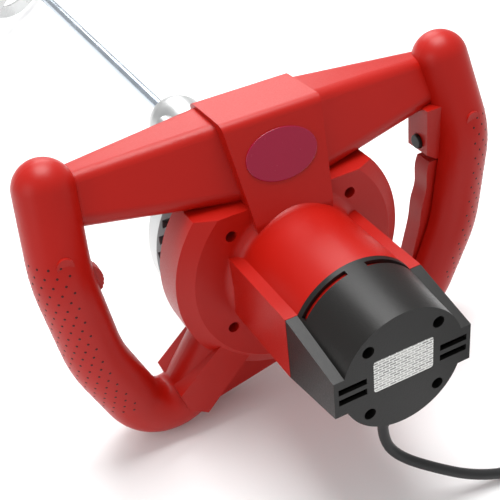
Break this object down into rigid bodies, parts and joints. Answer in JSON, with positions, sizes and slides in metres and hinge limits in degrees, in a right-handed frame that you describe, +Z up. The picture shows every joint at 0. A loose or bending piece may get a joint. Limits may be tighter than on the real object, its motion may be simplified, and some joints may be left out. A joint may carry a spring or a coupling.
{
  "type": "drill paint mixer",
  "caption": "Hand-held paint and mortar mixer with a wide loop handle, rear motor, gear case and a long rod that ends in a ribbon paddle, lying on the floor.",
  "frame": {"origin": "centre of the footprint on the floor, measured without the free cord", "axes": "+Z up; +Y along the floor from the rear cap towards the paddle; +X to the hand that works the trigger"},
  "size_m": [0.4514, 1.0545, 0.2252],
  "materials": {
    "red_plastic": "fine grain moulding",
    "black_plastic": "fine grain moulding",
    "grey_plastic": "satin",
    "white_label": "smooth film",
    "badge_gloss": "gloss",
    "cast_aluminium": "as cast",
    "steel": "zinc plated",
    "paddle_steel": "zinc plated",
    "core_steel": "laminated",
    "copper": "enamelled copper",
    "pin_metal": "nickel plated",
    "carbon": "pressed carbon",
    "rubber": "smooth"
  },
  "bodies": {
    "machine": {"housing_rear": "red_plastic", "housing_front": "red_plastic", "rear_cap": "black_plastic", "rating_plate": "white_label", "badge": "badge_gloss", "vent_ring": "grey_plastic", "bearing_plate": "cast_aluminium", "gear_case": "cast_aluminium", "trigger_pin": "steel", "trigger_spring": "steel", "speed_module": "black_plastic", "trigger_switch": "black_plastic", "suppressor": "grey_plastic", "cord_clamp": "black_plastic", "cap_screws": "steel", "housing_screws": "steel", "grip_screws": "steel", "case_screws": "steel", "stator_core": "core_steel", "field_coils": "copper", "brush_holders": "pin_metal", "carbon_brushes": "carbon", "brush_springs": "steel", "motor_bearing_rear": "steel", "motor_bearing_front": "steel", "layshaft_bearing_rear": "steel", "layshaft_bearing_front": "steel", "spindle_bearing_rear": "steel", "spindle_bearing_middle": "steel", "spindle_bearing_front": "steel", "spindle_seal": "rubber", "strain_relief": "rubber", "cord_tube": "rubber", "cord_coil": "rubber", "plug_body": "rubber", "plug_pins": "pin_metal"},
    "armature": {"armature_shaft": "steel", "armature_core": "core_steel", "armature_windings": "copper", "commutator": "copper", "cooling_fan": "black_plastic"},
    "layshaft": {"layshaft": "steel", "first_gear": "steel"},
    "output": {"spindle": "steel", "output_gear": "steel", "spindle_circlip": "steel", "mixing_rod": "steel", "paddle_blades": "paddle_steel", "paddle_ring": "paddle_steel", "paddle_struts": "paddle_steel"},
    "trigger": {"trigger": "red_plastic"},
    "lock_button": {"lock_button": "black_plastic"},
    "speed_dial": {"speed_dial": "red_plastic"}
  },
  "joints": [
    {"name": "spindle_spin", "type": "hinge", "parent": "machine", "child": "output", "pos_m": [0, -0.15639, 0.12334], "axis": [0, -0.9946, 0.1035], "continuous": true},
    {"name": "layshaft_spin", "type": "hinge", "parent": "machine", "child": "layshaft", "pos_m": [0.02094, -0.25898, 0.10365], "axis": [0, -0.9946, 0.1035], "continuous": true},
    {"name": "armature_spin", "type": "hinge", "parent": "machine", "child": "armature", "pos_m": [0, -0.35773, 0.12086], "axis": [0, -0.9946, 0.1035], "continuous": true},
    {"name": "trigger_squeeze", "type": "hinge", "parent": "machine", "child": "trigger", "pos_m": [0.122, -0.30892, 0.05847], "axis": [0, 0.9946, -0.1035], "range_deg": [0, 3.5], "stiffness_Nm_per_rad": 1.5, "springref_deg": -14.32},
    {"name": "lock_button_press", "type": "slide", "parent": "machine", "child": "lock_button", "axis": [1, 0, 0], "range_m": [0, 0.003], "stiffness_N_per_m": 800, "springref_m": -0.004},
    {"name": "speed_dial_turn", "type": "hinge", "parent": "machine", "child": "speed_dial", "pos_m": [-0.1405, -0.30489, 0.14552], "axis": [0, -0.9946, 0.1035], "range_deg": [-135, 135]}
  ],
  "couplings": [
    {"joint": "layshaft_spin", "follows": "spindle_spin", "ratio": -4.4444},
    {"joint": "armature_spin", "follows": "spindle_spin", "ratio": 26.667}
  ]
}
